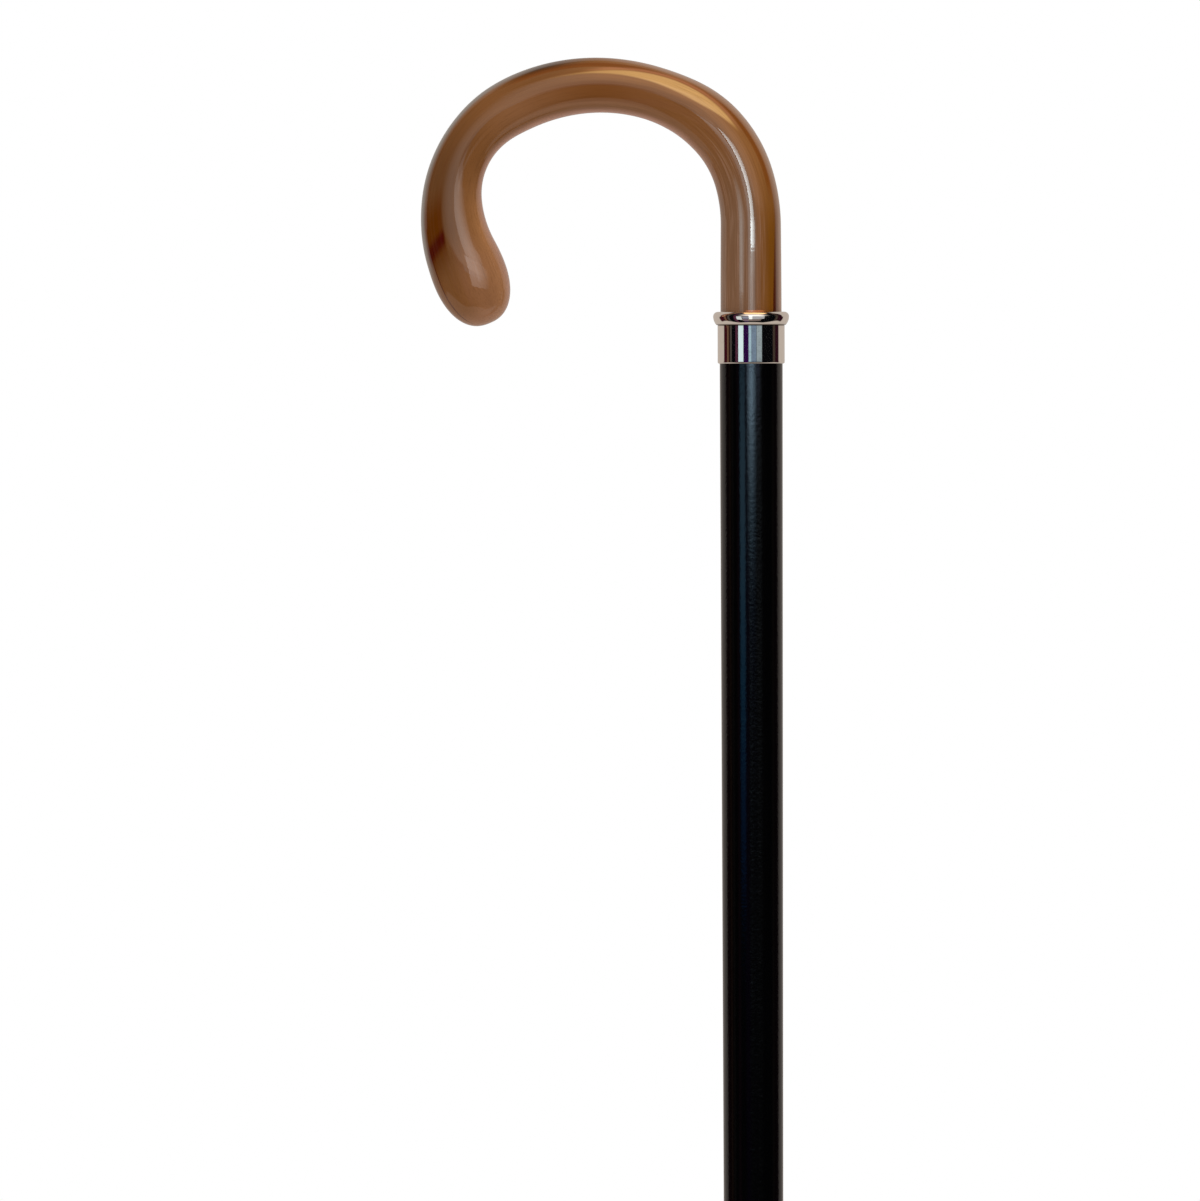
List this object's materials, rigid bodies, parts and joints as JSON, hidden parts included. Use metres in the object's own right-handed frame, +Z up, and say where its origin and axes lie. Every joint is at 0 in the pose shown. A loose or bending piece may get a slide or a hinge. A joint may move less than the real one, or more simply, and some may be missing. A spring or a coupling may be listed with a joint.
{
  "type": "crook handle walking cane",
  "caption": "Upright walking cane with a round crook handle swelling to a nose, a plated collar, a slim tapered black shaft and a push-on rubber ferrule.",
  "frame": {"origin": "centre of the ferrule's sole, on the ground and on the axis of the shaft", "axes": "+Z up the shaft towards the crook; -X the way the crook hooks over; Y across the plane of the crook"},
  "size_m": [0.1203, 0.031, 0.914],
  "materials": {
    "horn_resin": "polished horn-effect resin in mid brown with amber and dark streaks that follow the crook, under a glassy coat",
    "nickel_plate": "mirror-bright nickel plate, slightly warm",
    "black_lacquered_wood": "black satin lacquer over fine straight-grained hardwood",
    "black_rubber": "matt moulded rubber",
    "steel": "plain bright steel"
  },
  "bodies": {
    "cane": {"shaft": "black_lacquered_wood", "crook_handle": "horn_resin", "joining_stud": "steel", "collar_ring": "nickel_plate", "collar_sleeve": "nickel_plate"},
    "foot": {"ferrule": "black_rubber", "ferrule_washer": "steel"}
  },
  "joints": [
    {"name": "ferrule_pull", "type": "slide", "parent": "cane", "child": "foot", "axis": [0, 0, -1], "range_m": [0, 0.045]}
  ]
}
